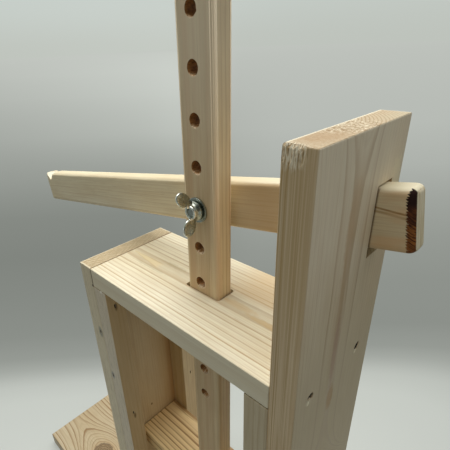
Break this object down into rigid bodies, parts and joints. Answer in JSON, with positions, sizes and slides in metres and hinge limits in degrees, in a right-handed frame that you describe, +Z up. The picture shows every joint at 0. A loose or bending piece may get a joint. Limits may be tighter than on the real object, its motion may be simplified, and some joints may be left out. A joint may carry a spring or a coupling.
{
  "type": "bookbinding press",
  "caption": "Wooden lever press: a pierced post and platen slide in a boarded frame, driven by a long lever on a bolt that pivots in a tall mortised upright.",
  "frame": {"origin": "middle of the underside of the base board", "axes": "+Z up, +X along the top board towards the tall upright, -Y towards the front with the wing nut"},
  "size_m": [0.4443, 0.16, 0.6314],
  "materials": {
    "pine_base": "planed, waxed by handling, satin",
    "pine_board": "planed, waxed by handling, satin",
    "pine_lath": "planed, waxed by handling, satin",
    "pine_platen": "planed, waxed by handling, satin",
    "pine_post": "planed, waxed by handling, satin",
    "pine_lever": "planed, waxed by handling, satin",
    "zinc": "zinc plated, satin",
    "nail_steel": "bright wire, dulled"
  },
  "bodies": {
    "frame": {"base_board": "pine_base", "left_panel": "pine_board", "right_upright": "pine_board", "top_board": "pine_board", "batten_front_left": "pine_lath", "batten_back_left": "pine_lath", "batten_front_right": "pine_lath", "batten_back_right": "pine_lath", "brads_left": "nail_steel", "brads_right": "nail_steel", "nails_upright": "nail_steel", "nails_panel": "nail_steel", "base_screws": "zinc"},
    "ram": {"platen": "pine_platen", "ram_post": "pine_post", "pivot_bolt": "zinc", "lock_washer": "zinc", "lock_nut": "zinc", "lever_washer": "zinc", "head_washer": "zinc", "platen_screws": "zinc"},
    "lever": {"lever": "pine_lever"},
    "wing_washer": {"wing_washer": "zinc"},
    "wing_nut": {"wing_nut": "zinc"}
  },
  "joints": [
    {"name": "ram_slide", "type": "slide", "parent": "frame", "child": "ram", "axis": [0, 0, 1], "range_m": [-0.01, 0.02]},
    {"name": "lever_pivot", "type": "hinge", "parent": "ram", "child": "lever", "pos_m": [0.06392, 0.0245, 0.42701], "axis": [0, 1, 0], "range_deg": [-5.5, 10.5]},
    {"name": "wing_travel", "type": "slide", "parent": "ram", "child": "wing_washer", "axis": [0, -1, 0], "range_m": [0, 0.0031]},
    {"name": "wing_spin", "type": "hinge", "parent": "wing_washer", "child": "wing_nut", "pos_m": [0.06392, -0.0145, 0.42701], "axis": [0, 1, 0], "range_deg": [-1080, 0]}
  ],
  "couplings": [
    {"joint": "lever_pivot", "follows": "ram_slide", "rad_per_m": 8.8},
    {"joint": "wing_travel", "follows": "wing_spin", "m_per_rad": -0.00015915}
  ]
}
